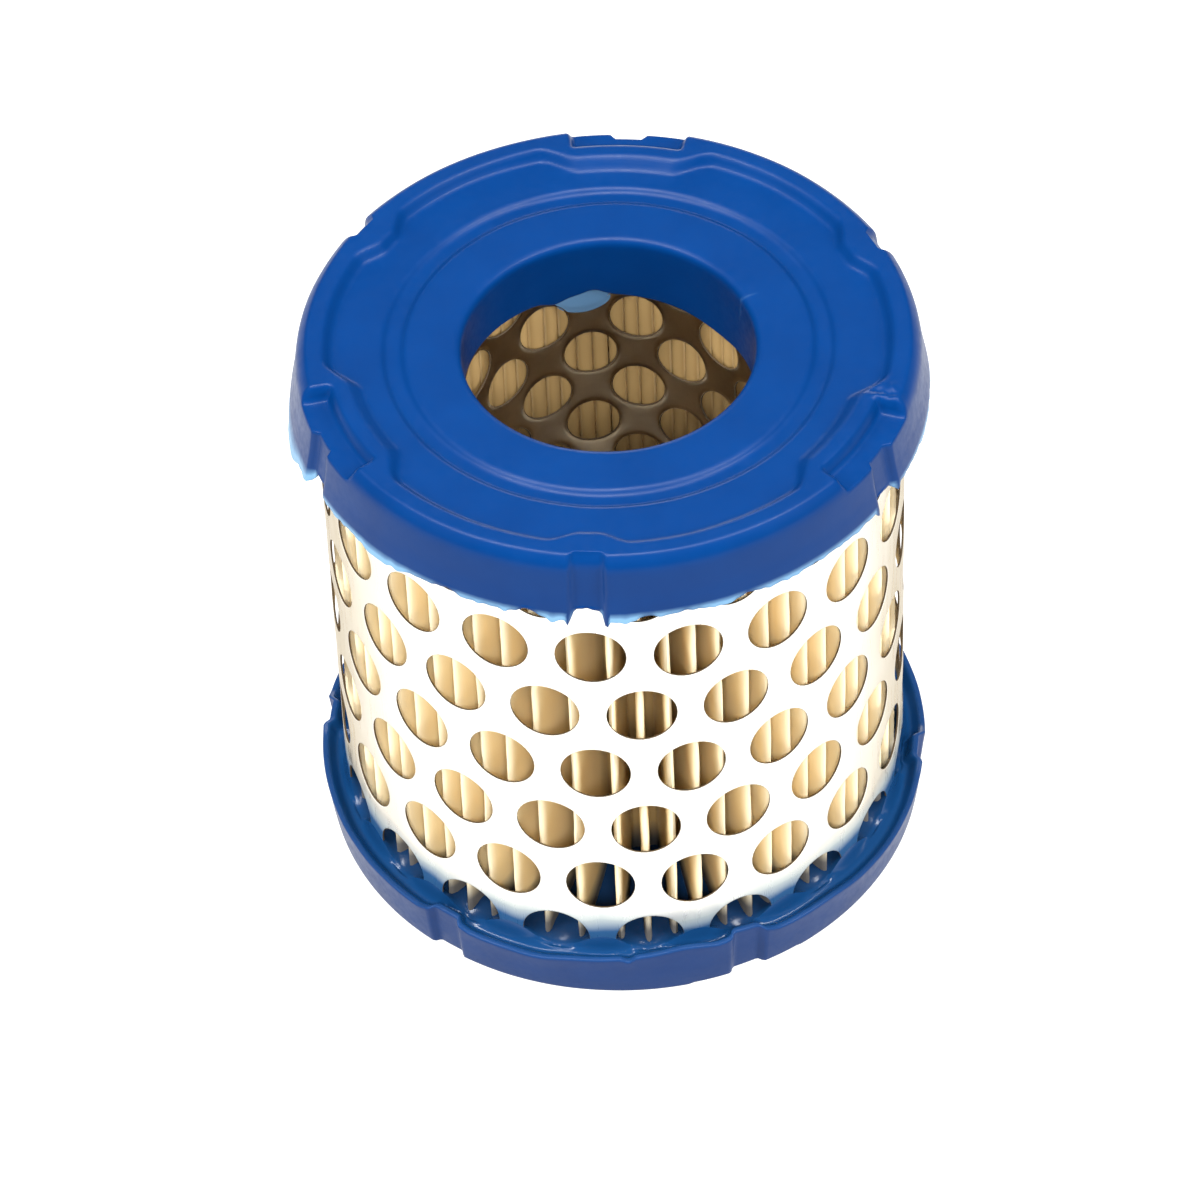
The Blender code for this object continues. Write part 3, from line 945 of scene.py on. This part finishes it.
bpy.ops.object.select_all(action="DESELECT")
bpy.ops.mesh.primitive_grid_add(x_subdivisions=smear_columns, y_subdivisions=smear_rows, size=2)
smear = bpy.context.object
smear_thin = smear.data.attributes.new("thin", "FLOAT", "POINT")
for vertex, thin_share in zip(smear.data.vertices, smear_thin.data):
    across = vertex.co.x
    up = (vertex.co.y + 1) / 2
    edge = smear_side - smear_length * (1 - across**2) ** smear_point
    swell = (1 - across**4) * soft_step(up, 0, smear_lead)
    radius = tube_face - smear_rim - (smear_gauge - smear_rim) * swell
    vertex.co = at(radius, smear_azimuth + smear_half * across, edge + (smear_top - edge) * up)
    thin_share.value = smear_thinness
finish_modifier(smear, "SOLIDIFY", thickness=smear_rim, offset=0)
edit(smear)
bpy.ops.mesh.normals_make_consistent(inside=False)
close_edit()
select_only(top_cap)
smear.select_set(True)
bpy.ops.object.join()
top_cap.data.materials.append(plastisol)
smooth_by_angle(top_cap, cap_smoothing)
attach(top_cap, "root")
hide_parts("top_end_cap")

# Studio
# A glowing white table in a dim room, with a soft box overhead and one high at each side. The fills in
# front leave no highlights, and a low card behind shows only as sheen. The camera looks down from the
# front, with the lens and place fitted to the wrap's holes.
white = (1, 1, 1, 1)
floor_reach = 3.0
floor_sides = 96
floor_roughness = 0.9
floor_glow = 1.4
floor_grey = (0.05, 0.05, 0.05, 1.0)
floor_shade = (0.8, 0.8, 0.8, 1.0)
# Reach of the painted contact shadow round the part.
floor_shade_reach = 7.0 * MM
room_strength = 0.12
top_power = 13.0
top_size = 0.4
top_place = Vector((-0.05, 0.06, 1.28))
key_power = 7.5
key_size = 0.3
key_place = Vector((0.5, -0.08, 1.15))
fill_power = 17.0
fill_size = 0.5
fill_place = Vector((1.05, -0.5, 0.8))
front_power = 23.0
front_size = 0.3
front_place = Vector((0.0, -1.1, 1.05))
back_power = 7.0
back_size = 0.7
back_place = Vector((0.0, 1.8, 0.28))

bpy.ops.object.select_all(action="DESELECT")
bpy.ops.mesh.primitive_circle_add(vertices=floor_sides, radius=floor_reach, fill_type="NGON")
floor = bpy.context.object
floor.name = "studio_floor"
floor_paint, tree, shader = start_material("floor_white")
place = add_node(tree, "ShaderNodeTexCoord").outputs["Object"]
reach = add_node(tree, "ShaderNodeVectorMath", {0: place}, operation="LENGTH").outputs["Value"]
uncovered = limit_range(tree, reach, bore_radius, cap_radius, 0, 1)
tree.links.new(blend_colours(tree, uncovered, floor_shade, floor_grey), shader.inputs["Base Color"])
shader.inputs["Roughness"].default_value = floor_roughness
shader.inputs["Emission Color"].default_value = white
# Painted contact shadow: the table's glow fades to nothing towards the part.
shade_out = cap_radius + floor_shade_reach
lit = add_node(tree, "ShaderNodeMapRange", {"Value": reach}, interpolation_type="SMOOTHSTEP")
for socket, value in (("From Min", bore_radius), ("From Max", shade_out), ("To Max", floor_glow)):
    lit.inputs[socket].default_value = value
tree.links.new(lit.outputs["Result"], shader.inputs["Emission Strength"])
floor.data.materials.append(floor_paint)

room = bpy.data.worlds.new("dim_room")
room.use_nodes = True
backdrop = room.node_tree.nodes["Background"]
backdrop.inputs["Color"].default_value = white
backdrop.inputs["Strength"].default_value = room_strength
bpy.context.scene.world = room


def soft_box(name, place, size, power):
    """A square soft box that points at the middle of the cartridge."""
    lamp = bpy.data.lights.new(name, "AREA")
    lamp.size = size
    lamp.energy = power
    lamp_object = bpy.data.objects.new(name, lamp)
    lamp_object.location = place
    aim = Vector((0, 0, top_face / 2)) - place
    lamp_object.rotation_euler = aim.to_track_quat("-Z", "Y").to_euler()
    bpy.context.scene.collection.objects.link(lamp_object)
    return lamp_object


to_left = Vector((-1, 1, 1))
soft_box("top_key", top_place, top_size, top_power)
soft_box("right_key", key_place, key_size, key_power)
soft_box("left_key", key_place * to_left, key_size, key_power)
fills = [
    soft_box("front_fill", front_place, front_size, front_power),
    soft_box("right_fill", fill_place, fill_size, fill_power),
    soft_box("left_fill", fill_place * to_left, fill_size, fill_power),
]
for lamp_object in fills:
    lamp_object.visible_glossy = False
back_card = soft_box("back_card", back_place, back_size, back_power)
back_card.visible_diffuse = False

camera_place = Vector((0, -603.70, 677.52)) * MM
camera_yaw = math.radians(-0.246)
camera_pitch = math.radians(46.779)
camera_roll = math.radians(-2.468)
camera_lens = 188.36
camera_sensor = 36.0
camera_near = 0.01
camera = bpy.data.cameras.new("camera")
camera.sensor_width = camera_sensor
camera.lens = camera_lens
camera.clip_start = camera_near
ahead = Vector(
    (
        math.sin(camera_yaw) * math.cos(camera_pitch),
        math.cos(camera_yaw) * math.cos(camera_pitch),
        -math.sin(camera_pitch),
    )
)
level = ahead.cross(Vector((0, 0, 1))).normalized()
above = level.cross(ahead)
rightwards = level * math.cos(camera_roll) + above * math.sin(camera_roll)
upwards = above * math.cos(camera_roll) - level * math.sin(camera_roll)
turn = Matrix((rightwards, upwards, -ahead)).transposed().to_4x4()
viewer = bpy.data.objects.new("camera", camera)
viewer.matrix_world = Matrix.Translation(camera_place) @ turn
bpy.context.scene.collection.objects.link(viewer)
bpy.context.scene.camera = viewer
bpy.context.scene.view_settings.view_transform = "Standard"
